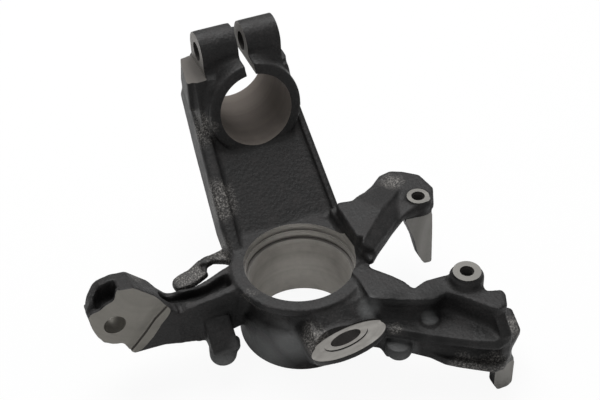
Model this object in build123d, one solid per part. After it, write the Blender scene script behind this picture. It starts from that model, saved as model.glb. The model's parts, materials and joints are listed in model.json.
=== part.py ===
from build123d import *
from math import cos, radians, sin
import os

os.makedirs("parts", exist_ok=True)

# Front steering knuckle of a small car, right-hand side, cast iron with machined seats.
# +Z runs along the wheel axis towards the middle of the car (inboard).
# +Y runs up the car to the strut clamp, and +X runs to the brake caliper.
# Everything is laid out from the centre of the hub mouth, then moved so that
# the origin is the middle of the bearing seat.

# Hub: bearing seat, snap-ring groove and the cast barrel round them
seat_radius = 32.0
seat_length = 42.0
seat_start = 14.0
mouth_radius = 36.4
mouth_depth = 5.0
step_radius = 34.6
groove_radius = 35.8
groove_top = 9.2
groove_width = 2.2
seat_bevel = 1.2
lead_in = 3.0
seat_lip = 4.0
rim_radius = 44.5
rim_height = 5.0
waist_radius = 39.5
bowl_radius = 42.5
bowl_foot_radius = 41.5
bowl_top = 22.0
bowl_round = 5.0

# Strut clamp: bore along Y, slit to +Z, pinch bolt along X
strut_x = 8.0
strut_z = 56.3
strut_radius = 25.0
clamp_wall = 7.0
clamp_bottom = 86.0
clamp_top = 149.0
clamp_lean = 11.3
clamp_bevel = 2.0
bore_chamfer = 1.2
slit_width = 6.4
pinch_y = 123.3
pinch_z = 91.0
pinch_radius = 6.5
ear_radius = 13.5
ear_left_length = 24.8
ear_right_length = 26.3
ledge_width = 8.5
ledge_top_z = 80.0
ledge_low_y = pinch_y - 19.3
ledge_high_y = pinch_y + 12.7

# Neck: a channel from the hub up to the clamp, open on its outboard side
web_lean = 32.0
web_thickness = 8.0
neck_left_low = 38.5
neck_left_high = 28.5
neck_right = 43.0
neck_foot = 12.0
bead_height_left = 6.0
bead_height_right = 4.0
bead_width_left = 10.0
bead_width_right = 5.0
flange_wall = 7.0
flange_depth_low = 15.0
flange_depth_high = 22.0
hollow_start = 22.0

# Steering arm with its tie-rod eye
tie_rod_reach = 123.4
tie_rod_x = -tie_rod_reach
tie_rod_z = -5.0
tie_rod_radius = 7.0
eye_face_y = -1.3
eye_far_y = 19.5
eye_top_z = 16.0
eye_low_z = -28.0
eye_fall = 0.2
eye_end_reach = 14.6
eye_wall = 3.0
eye_floor = 2.5
shoulder_slope = 24.0
eye_end = tie_rod_x - eye_end_reach
arm_end = tie_rod_x + 39.4
arm_root = -34.0
bridge_left = tie_rod_x + 6.0
bridge_right = tie_rod_x + 16.0
arm_near_y = -8.0
arm_far_y = 9.5
arm_top_z = -3.7
arm_low_z = -37.0
arm_rib = 6.0
arm_channel_depth = 8.0

# Ball-joint boss below the hub
ball_x = 0.1
ball_y = -72.8
ball_z = 0.0
ball_lean_y = 32.0
ball_lean_x = 12.0
ball_hole_radius = 9.8
ball_face_length = 48.0
ball_face_width = 36.0
ball_face_turn = 6.5
ball_rim = 5.5
ball_undercut = 2.5
ball_height = 36.0
ball_reach = (0.22, 0.74, -0.63)
root_left = -9.0
root_right = 30.0
root_edge = 4.0
spot_face_radius = 13.0
spot_face_depth = 1.0

# Caliper bosses and the arms that carry them
caliper_face_z = 10.0
upper_boss_x = 91.7
upper_boss_y = 15.8
upper_ring_radius = 7.5
lower_boss_x = 87.5
lower_boss_y = -60.6
lower_ring_radius = 8.9
caliper_thread_radius = 4.4
caliper_thread_depth = 24.0
ring_proud = 2.5
caliper_arm_top_z = 6.5
caliper_arm_low_z = -12.0
caliper_plate = 4.5
rib_top_z = 2.5
rib_depth = 5.5
ledge_top = -14.0
ledge_low = -20.0
flange_top = -31.0
flange_low = -37.0
ledge_round = 2.5
pad_x = 58.4
pad_y = -69.4
pad_radius = 6.2
pad_height = 2.5

# Pad fingers, with their machined faces
finger_face_y = 8.0
finger_right_x = 99.5
finger_tip_z = -47.0
finger_tip_width = 6.2
finger_thickness = 10.0
tab_face_y = -100.0
tab_left_x = 89.5
tab_right_x = 103.0
tab_tip_z = -62.0
tab_thickness = 7.0

# Splash-shield pegs and the cable bracket beside the steering arm
peg_x = -61.5
peg_y = -18.0
peg_radius = 8.8
peg_tip_z = -46.5
peg_length = 12.0
knob_x = 37.5
knob_y = -69.5
knob_radius = 8.5
knob_top_z = -24.0
knob_length = 10.0
peg_round = 3.6
bracket_top_z = -8.0
bracket_thickness = 5.0

clear = 1.0
far = 200.0


def raised(plane, points, amount, corner=0.0):
    """An outline on a plane, raised along the plane's normal (or sunk, if amount is negative)."""
    face = make_face(Polyline(*points, close=True))
    if corner > 0:
        face = fillet(face.vertices(), corner)
    return extrude(plane * face, amount=amount, dir=plane.z_dir)


def prism(points, low, high, corner=0.0):
    """A plan outline in X and Y, raised from low to high along Z."""
    return raised(Plane.XY.offset(low), points, high - low, corner)


def side_prism(points, low_y, high_y, corner=0.0):
    """A side outline in X and Z, raised from low_y to high_y along Y."""
    return raised(Plane.XZ.offset(-low_y), points, low_y - high_y, corner)


def drill(radius, x, y, top_z, low_z):
    """A round tool along Z."""
    return Pos(x, y, (top_z + low_z) / 2) * Cylinder(radius, top_z - low_z)


hub_depth = seat_start + seat_length + seat_lip


def hub_barrel():
    """The barrel round the bearing: a rim, a narrower waist and the rounded bowl."""
    waist_top = rim_height + (rim_radius - waist_radius)
    outline = Polyline(
        (0, 0),
        (rim_radius, 0),
        (rim_radius, -rim_height),
        (waist_radius, -waist_top),
        (waist_radius, -(bowl_top - 3)),
        (bowl_radius, -bowl_top - 3),
        (bowl_foot_radius, -hub_depth),
        (0, -hub_depth),
        close=True,
    )
    section = make_face(outline)
    corners = section.vertices().sort_by(Axis.Y)
    foot = [v for v in corners if abs(v.X - bowl_foot_radius) < 0.01 and abs(v.Y + hub_depth) < 0.01]
    section = fillet(foot, bowl_round)
    return revolve(Plane.XZ * section, Axis.Z)


def hub_bore():
    """The machined inside of the hub: mouth, step, snap-ring groove, seat and lead-in."""
    seat_low = seat_start + seat_length
    outline = Polyline(
        (0, clear),
        (mouth_radius, clear),
        (mouth_radius, -mouth_depth),
        (step_radius, -mouth_depth),
        (step_radius, -groove_top),
        (groove_radius, -groove_top),
        (groove_radius, -groove_top - groove_width),
        (seat_radius + seat_bevel, -groove_top - groove_width),
        (seat_radius, -seat_start),
        (seat_radius, -seat_low),
        (seat_radius + lead_in, -seat_low - lead_in),
        (seat_radius + lead_in, -hub_depth - clear),
        (0, -hub_depth - clear),
        close=True,
    )
    return revolve(Plane.XZ * make_face(outline), Axis.Z)


web_plane = Plane(
    origin=(0, mouth_radius, 0),
    x_dir=(1, 0, 0),
    z_dir=(0, -sin(radians(web_lean)), cos(radians(web_lean))),
)
neck_length = (ledge_high_y - mouth_radius) / cos(radians(web_lean))


def neck():
    """The channel section between the hub and the clamp, with a raised bead on each edge."""
    waist = 0.55 * neck_length
    waist_left = (neck_left_low + neck_left_high) / 2
    outside = [
        (-neck_left_low, -neck_foot),
        (neck_right, -neck_foot),
        (neck_right, neck_length),
        (-neck_left_high, neck_length),
        (-waist_left, waist),
        (-neck_left_low, 10),
    ]
    body = raised(web_plane.offset(bead_height_left), outside, -bead_height_left - flange_depth_high)
    right_half = [
        (0, -neck_foot - clear),
        (neck_right + clear, -neck_foot - clear),
        (neck_right + clear, neck_length + clear),
        (0, neck_length + clear),
    ]
    body -= raised(web_plane.offset(bead_height_right), right_half, bead_height_left)
    body = fillet(bead_edges(body, -1, bead_height_left), bead_height_left * 0.6)
    body = fillet(bead_edges(body, 1, bead_height_right), bead_height_right * 0.6)
    body -= side_wedge(flange_depth_high - flange_depth_low)

    dish = [
        (-neck_left_low + bead_width_left - 2, -neck_foot - clear),
        (neck_right - bead_width_right, -neck_foot - clear),
        (neck_right - bead_width_right, neck_length + clear),
        (-neck_left_high + bead_width_left, neck_length + clear),
        (-waist_left + bead_width_left - 1, waist),
    ]
    body -= raised(web_plane, dish, bead_height_left + clear)

    hollow = [
        (-neck_left_low + flange_wall, hollow_start),
        (neck_right - flange_wall, hollow_start),
        (neck_right - flange_wall, neck_length + clear),
        (-neck_left_high + flange_wall, neck_length + clear),
        (-waist_left + flange_wall, waist),
    ]
    body -= raised(web_plane.offset(-web_thickness), hollow, -flange_depth_high)
    return body


def bead_edges(body, side, height):
    """The long top edges of the neck on one side (-1 left, 1 right), at a height above the web."""
    found = []
    for edge in body.edges():
        local = web_plane.to_local_coords(edge.center())
        if abs(local.Z - height) < 0.01 and local.X * side > neck_left_high and edge.length > neck_foot * 2:
            found.append(edge)
    return found


def side_wedge(drop):
    """The wedge that makes the neck's flanges shallower towards the hub."""
    outline = [
        (-neck_foot - clear, -flange_depth_high - clear),
        (-neck_foot - clear, -flange_depth_high + drop),
        (neck_length * 0.75, -flange_depth_high - clear),
    ]
    across = Plane(origin=web_plane.origin, x_dir=web_plane.y_dir, z_dir=(1, 0, 0))
    return raised(across.offset(-far / 2), outline, far)


def strut_clamp():
    """The split clamp for the strut tube, with the two pinch-bolt ears and the bolt-head ledge."""
    outer = strut_radius + clamp_wall
    length = clamp_top - clamp_bottom + 20
    barrel = Pos(strut_x, clamp_top - length / 2, strut_z) * Rot(90, 0, 0) * Cylinder(outer, length)
    barrel = chamfer(barrel.edges().sort_by(Axis.Y)[-1], clamp_bevel)

    slit_left = strut_x - slit_width / 2
    slit_right = strut_x + slit_width / 2
    ears = ear(slit_left - ear_left_length, slit_left)
    ears += ear(slit_right, slit_right + ear_right_length)
    ears += ear(slit_left, slit_right)

    ledge_right = slit_left - ear_left_length
    ledge_left = ledge_right - ledge_width
    ledge_outline = [
        (ledge_low_y, strut_z - outer + 6),
        (ledge_low_y - 12, strut_z - outer + 2),
        (ledge_low_y, ledge_top_z),
        (ledge_high_y, ledge_top_z),
        (ledge_high_y + 6, strut_z + 4),
        (ledge_high_y, strut_z - outer + 8),
    ]
    ledge = raised(Plane.YZ.offset(ledge_left), ledge_outline, strut_x - ledge_left)
    ledge = fillet(ledge.edges().filter_by(Axis.X), 2.5)
    body = barrel + ears + ledge

    lean = Rot(-clamp_lean, 0, 0)
    below = Pos(strut_x, clamp_bottom, strut_z - strut_radius) * lean * Pos(0, -far / 2, 0) * Box(
        far, far, far
    )
    return body - below


def ear(left, right):
    """One pinch-bolt ear, rounded round the bolt and running down into the barrel."""
    lug = Pos((left + right) / 2, pinch_y, pinch_z) * Rot(0, 90, 0) * Cylinder(ear_radius, right - left)
    post_height = pinch_z - strut_z
    post = Pos((left + right) / 2, pinch_y, pinch_z - post_height / 2) * Box(
        right - left, 2 * ear_radius, post_height
    )
    return lug + post


def strut_cuts():
    """Bore with its lead-in chamfers, slit, and the pinch-bolt hole through both ears."""
    bore_length = clamp_top - clamp_bottom + 60
    bore = Pos(strut_x, clamp_top - bore_length / 2 + clear, strut_z) * Rot(90, 0, 0) * Cylinder(
        strut_radius, bore_length
    )
    mouth = Pos(strut_x, clamp_top - bore_chamfer / 2 + clear / 2, strut_z) * Rot(-90, 0, 0) * Cone(
        strut_radius, strut_radius + bore_chamfer + clear, bore_chamfer + clear
    )
    slit_height = pinch_z + ear_radius + clear - strut_z
    slit = Pos(strut_x, pinch_y, strut_z + slit_height / 2) * Box(slit_width, far / 2, slit_height)
    bolt = Pos(strut_x, pinch_y, pinch_z) * Rot(0, 90, 0) * Cylinder(
        pinch_radius, 2 * (ear_left_length + ear_right_length)
    )
    return bore + mouth + slit + bolt


def along_arm(share):
    """The place in X at this share of the way from the eye block to the hub."""
    return arm_end + share * (arm_root - arm_end)


def steering_arm():
    """The arm to the tie rod: side outlines crossed with a plan outline, then hollowed on top."""
    eye_side = [
        (eye_end, eye_top_z - 13),
        (eye_end + 1.7, tie_rod_z - 1.5),
        (eye_end + 5.9, tie_rod_z - 12),
        (eye_end + 17, eye_low_z + 6),
        (eye_end + 22, eye_low_z),
        (eye_end + 42, eye_low_z - 1),
        (arm_end, arm_low_z + 4.5),
        (arm_end, arm_top_z),
        (arm_end - 2.5, arm_top_z),
        (arm_end - 7.7, tie_rod_z + 7),
        (arm_end - 12, tie_rod_z + 14),
        (bridge_right - 1, eye_top_z + 5.3),
        (bridge_left - 1, eye_top_z + 6.6),
        (eye_end + 11, eye_top_z + 5),
        (eye_end + 3, eye_top_z - 1),
        (eye_end - 0.8, eye_top_z - 8),
    ]
    arm_side = [
        (arm_end - 2, arm_low_z + 5),
        (along_arm(0.3), arm_low_z),
        (along_arm(0.68), arm_low_z + 1),
        (arm_root, arm_low_z + 3),
        (arm_root, arm_top_z + 3),
        (along_arm(0.32), arm_top_z),
        (along_arm(0.12), arm_top_z),
        (arm_end - 2, arm_top_z - 4),
    ]
    eye_face = Plane.XZ.offset(-eye_face_y) * make_face(Polyline(*eye_side, close=True))
    block = extrude(eye_face, amount=far / 4, dir=(0, 1, -eye_fall), both=True)
    block += side_prism(arm_side, -far / 4, far / 4)
    plan = [
        (eye_end - clear, arm_near_y),
        (arm_end, arm_near_y),
        (arm_root, arm_near_y + 2),
        (arm_root, 19),
        (along_arm(0.72), 15.5),
        (along_arm(0.48), arm_far_y + 2),
        (along_arm(0.28), arm_far_y),
        (along_arm(0.1), arm_far_y + 2),
        (arm_end - 2, eye_far_y - 4.5),
        (arm_end - 11, eye_far_y - 1),
        (arm_end - 26, eye_far_y),
        (eye_end + 8, eye_far_y),
        (eye_end + 1, eye_far_y - 7.5),
        (eye_end - clear, 5),
    ]
    arm = block & prism(plan, -far / 4, far / 4, 1.0)

    channel = [
        (arm_end - 8, 5),
        (arm_end, arm_near_y + arm_rib + 4),
        (along_arm(0.24), arm_near_y + arm_rib),
        (along_arm(0.76), arm_near_y + arm_rib + 2),
        (along_arm(0.76), 11),
        (along_arm(0.44), arm_far_y - 3),
        (along_arm(0.16), arm_far_y - 2),
        (arm_end - 2, 9),
        (arm_end - 8, 12),
    ]
    arm -= prism(channel, arm_top_z - arm_channel_depth, far / 4, 1.2)

    pocket = [
        (bridge_left, eye_face_y + eye_wall),
        (bridge_left, 12),
        (eye_end + 10, 12),
        (eye_end + 5.5, 7),
        (eye_end + 5.5, eye_face_y + eye_wall),
    ]
    arm -= prism(pocket, tie_rod_z + tie_rod_radius + eye_floor, far / 4, 1.2)
    return arm - eye_top() - eye_milling()


def eye_top():
    """The cut that leaves a low wall between the eye's machined face and the pocket."""
    low_wall = [
        (eye_end - clear, eye_top_z - 9),
        (eye_end + 5.4, eye_top_z - 6.5),
        (eye_end + 12, eye_top_z - 4),
        (bridge_left - 2, eye_top_z - 0.8),
        (bridge_left - 1, eye_top_z + 6.6),
        (bridge_left, far),
        (eye_end - clear, far),
    ]
    return side_prism(low_wall, arm_near_y - clear, eye_face_y + eye_wall + 1.5)


def eye_milling():
    """The cut that leaves the eye's flat face and the sloping shoulder beside it."""
    outline = [
        (tie_rod_x + 43.6, tie_rod_z + 18.6),
        (tie_rod_x + 31.5, tie_rod_z + 9),
        (tie_rod_x + 21.8, tie_rod_z + 1.3),
        (tie_rod_x + 7.4, tie_rod_z - 15.5),
        (tie_rod_x - 8.6, tie_rod_z - 34.2),
        (eye_end - 30, tie_rod_z - 34.2),
        (eye_end - 30, far / 4),
        (tie_rod_x + 43.6, far / 4),
    ]
    face = Plane.XZ.offset(-eye_face_y) * make_face(Polyline(*outline, close=True))
    reach = eye_face_y - arm_near_y + clear
    return extrude(face, amount=reach, dir=(0, -1, 0), taper=-shoulder_slope)


def steering_cuts():
    """The tie-rod hole, square to the machined face."""
    return Pos(tie_rod_x, eye_face_y, tie_rod_z) * Rot(90, 0, 0) * Cylinder(tie_rod_radius, far / 2)


ball_plane = Plane(Pos(ball_x, ball_y, ball_z) * Rot(-ball_lean_y, 0, 0) * Rot(0, -ball_lean_x, 0))


def ball_joint_boss():
    """The oval boss for the ball joint: a thin rim over a body that tapers down to the hub."""
    half_length = ball_face_length / 2
    half_width = ball_face_width / 2
    oval = Rot(0, 0, ball_face_turn) * Ellipse(half_length, half_width)
    rim = extrude(ball_plane * oval, amount=-ball_rim, dir=ball_plane.z_dir)
    inner = Rot(0, 0, ball_face_turn) * Ellipse(half_length - ball_undercut, half_width - ball_undercut)
    body = extrude(ball_plane.offset(-ball_rim + clear) * inner, amount=ball_height, dir=ball_reach)
    return rim + body + ball_root() + ball_flank()


def ball_root():
    """The root between the hub's rim and the oval boss, with a flat sloping top."""
    side = [
        (-34, -2),
        (-44, -2),
        (ball_y + 15, -11),
        (ball_y + 15, -26),
        (-46, -42),
        (-34, -42),
    ]
    root = raised(Plane.YZ.offset(root_left), side, root_right - root_left)
    ridge = [e for e in root.edges() if abs(e.center().X - root_right) < 0.01 and e.center().Z > -8]
    return fillet(ridge, root_edge)


def ball_flank():
    """The broad rib on the left of the ball-joint boss, from its oval end back to the bowl."""
    at_hub = [(-12, -7), (-19, -19), (-16, -36), (-11.8, -50), (6, -50), (6, -7)]
    at_boss = [(-15, -12), (-19, -14), (-18, -20), (-14, -25), (6, -25), (6, -12)]
    sections = [
        Plane.XZ.offset(42) * make_face(Polyline(*at_hub, close=True)),
        Plane.XZ.offset(-ball_y - 6) * make_face(Polyline(*at_boss, close=True)),
    ]
    return loft(sections, ruled=True) + side_prism(at_hub, -42.1, -34)


def ball_joint_cuts():
    """The ball-joint hole and its spot face, and everything that stands above the machined face."""
    hole = ball_plane * Cylinder(ball_hole_radius, far / 2)
    spot = ball_plane.offset(-spot_face_depth / 2) * Cylinder(spot_face_radius, spot_face_depth)
    return hole + spot


def upper_caliper_arm():
    """The arm from the neck to the upper caliper bolt, with a ridge along its upper side."""
    far_side = [
        (34, 33),
        (50, 31),
        (58, 36),
        (70, 42.5),
        (79, 50),
        (upper_boss_x - 3.7, upper_boss_y + 36),
        (upper_boss_x + 4, upper_boss_y + 32),
        (upper_boss_x + 13, upper_boss_y + 24),
        (upper_boss_x + 15.5, upper_boss_y + 8),
    ]
    near_side = [
        (upper_boss_x + 8, finger_face_y),
        (upper_boss_x - 14, finger_face_y - 2),
        (60, -7),
        (46, -19),
        (38, -27),
    ]
    under_side = [
        (upper_boss_x + 8, finger_face_y + 8),
        (upper_boss_x - 14, finger_face_y + 15),
        (57, 3),
        (46, -9),
        (36, -19),
    ]
    arm = prism(far_side + near_side, caliper_arm_top_z - caliper_plate, caliper_arm_top_z, 2)
    arm += prism(far_side + under_side, caliper_arm_low_z, caliper_arm_top_z - clear, 2)
    ridge_plan = [
        (36, 27),
        (48, 24.5),
        (56, 30),
        (68, 36.5),
        (80, 41),
        (89, 35),
        (64, 13),
        (42, -8),
        (36, -16),
    ]
    ridge = prism(ridge_plan, caliper_arm_low_z, caliper_arm_top_z + 9, 3)
    slope = Pos(60, 10, caliper_arm_top_z + 9) * Rot(-8, 14, 0) * Pos(0, 0, 20) * Box(90, 100, 40)
    ring = drill(
        upper_ring_radius + 2, upper_boss_x, upper_boss_y, caliper_face_z - ring_proud, caliper_arm_low_z
    )
    face = drill(upper_ring_radius, upper_boss_x, upper_boss_y, caliper_face_z, caliper_arm_low_z)
    return arm + (ridge - slope) + ring + face + upper_finger()


def upper_finger():
    """The tapered finger that guides the brake pad."""
    side = [
        (upper_boss_x - 15.5, caliper_arm_top_z),
        (finger_right_x - 1.5, caliper_arm_top_z + 5),
        (finger_right_x, -12),
        (finger_right_x + 0.8, finger_tip_z),
        (finger_right_x + 0.8 - finger_tip_width, finger_tip_z + 1),
        (finger_right_x - 10, finger_tip_z + 10.5),
        (finger_right_x - 13.5, finger_tip_z + 26),
        (upper_boss_x - 14, 1.8),
    ]
    finger = side_prism(side, finger_face_y, finger_face_y + finger_thickness, 1.0)
    back = [
        (finger_face_y + finger_thickness + clear, caliper_arm_low_z),
        (finger_face_y + finger_thickness + clear, finger_tip_z - clear),
        (finger_face_y + 5.5, finger_tip_z - clear),
    ]
    relief = raised(Plane.YZ.offset(finger_right_x - 40), back, 60)
    return finger - relief


def lower_caliper_arm():
    """The arm to the lower caliper bolt: a top rib over a ledge with a round pad, and a bottom flange."""
    rib_back = [
        (26, -26),
        (46.3, -36.3),
        (52.1, -45.7),
        (54.6, -54),
        (57.5, -52.5),
        (64.3, -50.2),
        (lower_boss_x - 5.1, lower_boss_y + 9.1),
        (lower_boss_x + 8, lower_boss_y - 4),
        (lower_boss_x + 7, lower_boss_y - 13),
        (lower_boss_x + 16, lower_boss_y - 16),
        (lower_boss_x + 16.7, lower_boss_y - 20),
        (lower_boss_x + 12.8, lower_boss_y - 29),
    ]
    rib_front = [
        (lower_boss_x + 5.8, lower_boss_y - 30.5),
        (lower_boss_x - 1.7, lower_boss_y - 22),
        (lower_boss_x - 9.6, lower_boss_y - 11),
        (lower_boss_x - 15.7, lower_boss_y - 5.2),
        (61.2, -67.7),
        (49.1, -63.2),
        (30.7, -53.2),
        (26, -50),
    ]
    rib = prism(rib_back + rib_front, rib_top_z - rib_depth, rib_top_z, 1.0)

    ledge_front = [
        (lower_boss_x + 10.5, lower_boss_y - 40.4),
        (lower_boss_x + 0.9, lower_boss_y - 43.4),
        (lower_boss_x - 9.7, lower_boss_y - 37.9),
        (57.5, -85),
        (37.7, -70),
        (26, -62),
    ]
    ledge = prism(rib_back + ledge_front, ledge_low, ledge_top - ledge_round)
    ledge_inner = [(x - ledge_round / 2, y + ledge_round) for x, y in ledge_front]
    ledge += prism(rib_back + ledge_inner, ledge_low, ledge_top)
    wall_front = [(x - 0.6, y + 1.0) for x, y in rib_front]
    wall = prism(rib_back + wall_front, ledge_low + clear, rib_top_z - rib_depth + clear)

    core_front = [(x - 4.0, y + 8.0) for x, y in ledge_front]
    core = prism(rib_back + core_front, flange_low, ledge_low + clear)
    flange = [
        (28, -36),
        (50, -46),
        (lower_boss_x - 5.5, lower_boss_y + 2.6),
        (lower_boss_x + 25.5, lower_boss_y + 0.6),
        (lower_boss_x + 32.5, lower_boss_y - 5.4),
        (lower_boss_x + 28.5, lower_boss_y - 23.4),
        (lower_boss_x + 17.3, lower_boss_y - 32.7),
        (lower_boss_x + 12, lower_boss_y - 39.4),
        (lower_boss_x + 5.1, lower_boss_y - 45.3),
        (lower_boss_x - 2.1, lower_boss_y - 45.7),
        (lower_boss_x - 19.8, lower_boss_y - 33.4),
        (lower_boss_x - 27.1, lower_boss_y - 27.4),
        (54.5, -79.2),
        (44.9, -70.4),
        (30, -68),
    ]
    low = prism(flange, flange_low, flange_top, 1.5)
    boss = drill(
        lower_ring_radius + 2, lower_boss_x, lower_boss_y, caliper_face_z - ring_proud, flange_low + 4
    )
    face = drill(lower_ring_radius, lower_boss_x, lower_boss_y, caliper_face_z, flange_low + 4)
    pad = drill(pad_radius, pad_x, pad_y, ledge_top + pad_height, ledge_low)
    end_slope = [
        (lower_boss_y - 23.4, rib_top_z - rib_depth),
        (lower_boss_y - 30.5, rib_top_z - rib_depth - 1),
        (ledge_front[0][1], ledge_top + 1),
        (ledge_front[0][1], flange_low),
        (lower_boss_y - 23.4, flange_low),
    ]
    end_wall = raised(Plane.YZ.offset(lower_boss_x + 4), end_slope, 7.5)
    return rib + wall + ledge + core + low + boss + face + pad + end_wall + lower_tab()


def lower_tab():
    """The tab that guides the lower end of the brake pad."""
    side = [
        (tab_left_x, flange_low + 1),
        (tab_right_x, flange_low + 1),
        (tab_right_x, tab_tip_z + 3),
        (tab_right_x - 3, tab_tip_z),
        (tab_left_x + 3, tab_tip_z),
        (tab_left_x, tab_tip_z + 6),
    ]
    return side_prism(side, tab_face_y, tab_face_y + tab_thickness, 1)


def caliper_cuts():
    """The threaded caliper holes, drilled to depth with a bevelled mouth."""
    cuts = []
    for x, y in ((upper_boss_x, upper_boss_y), (lower_boss_x, lower_boss_y)):
        low = caliper_face_z - caliper_thread_depth
        cuts.append(drill(caliper_thread_radius, x, y, caliper_face_z + clear, low))
        cuts.append(
            Pos(x, y, caliper_face_z)
            * Cone(caliper_thread_radius - 0.6, caliper_thread_radius + 0.8, 1.4)
        )
    result = cuts[0]
    for cut in cuts[1:]:
        result += cut
    return result


def shield_pegs():
    """Two pegs that carry the splash shield, with their stems to the casting."""
    stem_top = arm_near_y * 3
    stem_low = peg_tip_z + 5
    slope = [
        (arm_near_y + 4, stem_top),
        (arm_near_y - 1, stem_top),
        (peg_y - 4, stem_low + 5),
        (peg_y - 4, stem_low),
        (arm_near_y + 4, stem_low),
    ]
    stem = raised(Plane.YZ.offset(peg_x - 7), slope, 13, 1.5)
    lug = drill(3.6, peg_x + 8.5, peg_y + 1, peg_tip_z + 14, peg_tip_z + 5)
    root = prism(
        [(24, -34), (46, -44), (knob_x + 6, knob_y), (knob_x - 4, knob_y + 4)],
        knob_top_z - 14,
        knob_top_z - 7,
        2,
    )
    return (
        rounded_peg(peg_x, peg_y, peg_radius, peg_tip_z + peg_length, peg_tip_z)
        + stem
        + lug
        + rounded_peg(knob_x, knob_y, knob_radius, knob_top_z, knob_top_z - knob_length)
        + root
    )


def rounded_peg(x, y, radius, top, tip):
    """A cast peg whose lower end is rounded off by two bevels."""
    outline = Polyline(
        (0, top),
        (radius, top),
        (radius, tip + peg_round),
        (radius - peg_round * 0.3, tip + peg_round * 0.3),
        (radius - peg_round, tip),
        (0, tip),
        close=True,
    )
    return Pos(x, y, 0) * revolve(Plane.XZ * make_face(outline), Axis.Z)


def cable_bracket():
    """The ear for the sensor cable: a thin arm from the neck's foot with a flat end."""
    low = bracket_top_z - bracket_thickness
    arm = prism(
        [(-28, 46), (-38, 40.5), (-45, 38.8), (-54, 37.3), (-51, 33.5), (-42, 29), (-34, 22), (-26, 30)],
        low,
        bracket_top_z,
        1.0,
    )
    plate = prism(
        [(-50, 38), (-54, 37.3), (-65, 30), (-79, 24.4), (-80, 21), (-73.5, 19.6), (-66, 21), (-54.4, 27)],
        low,
        bracket_top_z,
        1.5,
    )
    return arm + plate


casting = hub_barrel()
casting += neck()
casting += strut_clamp()
casting += steering_arm()
casting += ball_joint_boss()
casting += upper_caliper_arm()
casting += lower_caliper_arm()
casting += shield_pegs()
casting += cable_bracket()

knuckle = casting - hub_bore()
knuckle -= strut_cuts()
knuckle -= steering_cuts()
knuckle -= ball_joint_cuts()
knuckle -= caliper_cuts()

seat_middle = seat_start + seat_length / 2
knuckle = Pos(0, 0, seat_middle) * knuckle

export_step(knuckle, "parts/steering_knuckle.step")
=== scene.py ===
import json
import math

import bmesh
import bpy
import numpy as np
import openvdb
from mathutils import Matrix, Vector


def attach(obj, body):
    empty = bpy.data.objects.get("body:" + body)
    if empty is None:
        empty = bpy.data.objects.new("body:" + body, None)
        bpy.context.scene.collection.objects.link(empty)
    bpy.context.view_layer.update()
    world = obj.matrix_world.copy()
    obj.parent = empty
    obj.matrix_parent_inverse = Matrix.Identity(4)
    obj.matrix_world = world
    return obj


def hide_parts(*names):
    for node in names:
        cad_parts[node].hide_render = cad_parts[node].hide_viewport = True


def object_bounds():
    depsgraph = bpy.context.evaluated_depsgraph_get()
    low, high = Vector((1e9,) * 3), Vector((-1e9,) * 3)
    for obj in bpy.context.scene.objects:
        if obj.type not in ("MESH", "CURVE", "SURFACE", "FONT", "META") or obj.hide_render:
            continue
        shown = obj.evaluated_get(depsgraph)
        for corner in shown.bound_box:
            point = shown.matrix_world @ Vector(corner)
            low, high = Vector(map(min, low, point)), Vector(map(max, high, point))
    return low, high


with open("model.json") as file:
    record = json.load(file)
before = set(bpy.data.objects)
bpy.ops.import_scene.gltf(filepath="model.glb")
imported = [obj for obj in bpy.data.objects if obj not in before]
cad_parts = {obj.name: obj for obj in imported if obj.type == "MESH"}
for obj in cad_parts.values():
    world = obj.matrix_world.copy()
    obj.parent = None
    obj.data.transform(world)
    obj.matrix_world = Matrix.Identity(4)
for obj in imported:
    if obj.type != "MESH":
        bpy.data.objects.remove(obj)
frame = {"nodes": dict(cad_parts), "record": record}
cad_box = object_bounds()

# ---------------------------------------------------------------------------
# The casting's sand-cast skin. The real knuckle is one grey-iron casting: its
# junctions are blended by the pattern maker's fillets and every cast edge is
# round, while the seats and faces are machined afterwards.
# ---------------------------------------------------------------------------

MM = 0.001
VOXEL = 0.9 * MM
BAND = 6
EDGE_ROUND = 0.75 * MM
FILLET_BLEND = 2.3 * MM
FILLET_LIFT = 0.1 * MM

X, Y, Z = 0, 1, 2
X_WAY = Vector((1, 0, 0))
Y_WAY = Vector((0, 1, 0))
UP = Vector((0, 0, 1))

knuckle = frame["nodes"]["steering_knuckle"]
mounts = {mount["name"]: mount for mount in frame["record"]["mounts"]}


def mount_point(name):
    return Vector(mounts[name]["pos_m"])


def mount_axis(name):
    return Vector(mounts[name]["axis"]).normalized()


def mount_radius(name):
    return mounts[name]["dims"]["r_mm"] * MM


# A grid of points round the part. The solid becomes a distance at each of them, so that forms can be
# added to it, carved from it and blended.
low = np.array(cad_box[0]) - (BAND + 3) * VOXEL
high = np.array(cad_box[1]) + (BAND + 3) * VOXEL
counts = np.ceil((high - low) / VOXEL).astype(int)
ticks = [low[i] + VOXEL * np.arange(counts[i]) for i in range(3)]
grid_x, grid_y, grid_z = np.meshgrid(*ticks, indexing="ij", sparse=True)


def signed_distance(mesh):
    """How far each grid point is from the mesh's surface, negative inside."""
    mesh.calc_loop_triangles()
    points = np.empty(len(mesh.vertices) * 3, dtype=np.float32)
    mesh.vertices.foreach_get("co", points)
    corners = np.empty(len(mesh.loop_triangles) * 3, dtype=np.int32)
    mesh.loop_triangles.foreach_get("vertices", corners)
    shifted = (points.reshape(-1, 3) - low.astype(np.float32)) / np.float32(VOXEL)
    grid = openvdb.FloatGrid.createLevelSetFromPolygons(
        shifted,
        triangles=corners.reshape(-1, 3).astype(np.uint32),
        transform=openvdb.createLinearTransform(1.0),
        halfWidth=float(BAND),
    )
    field = np.empty(tuple(counts), dtype=np.float32)
    grid.copyToArray(field)
    return field * VOXEL


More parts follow.
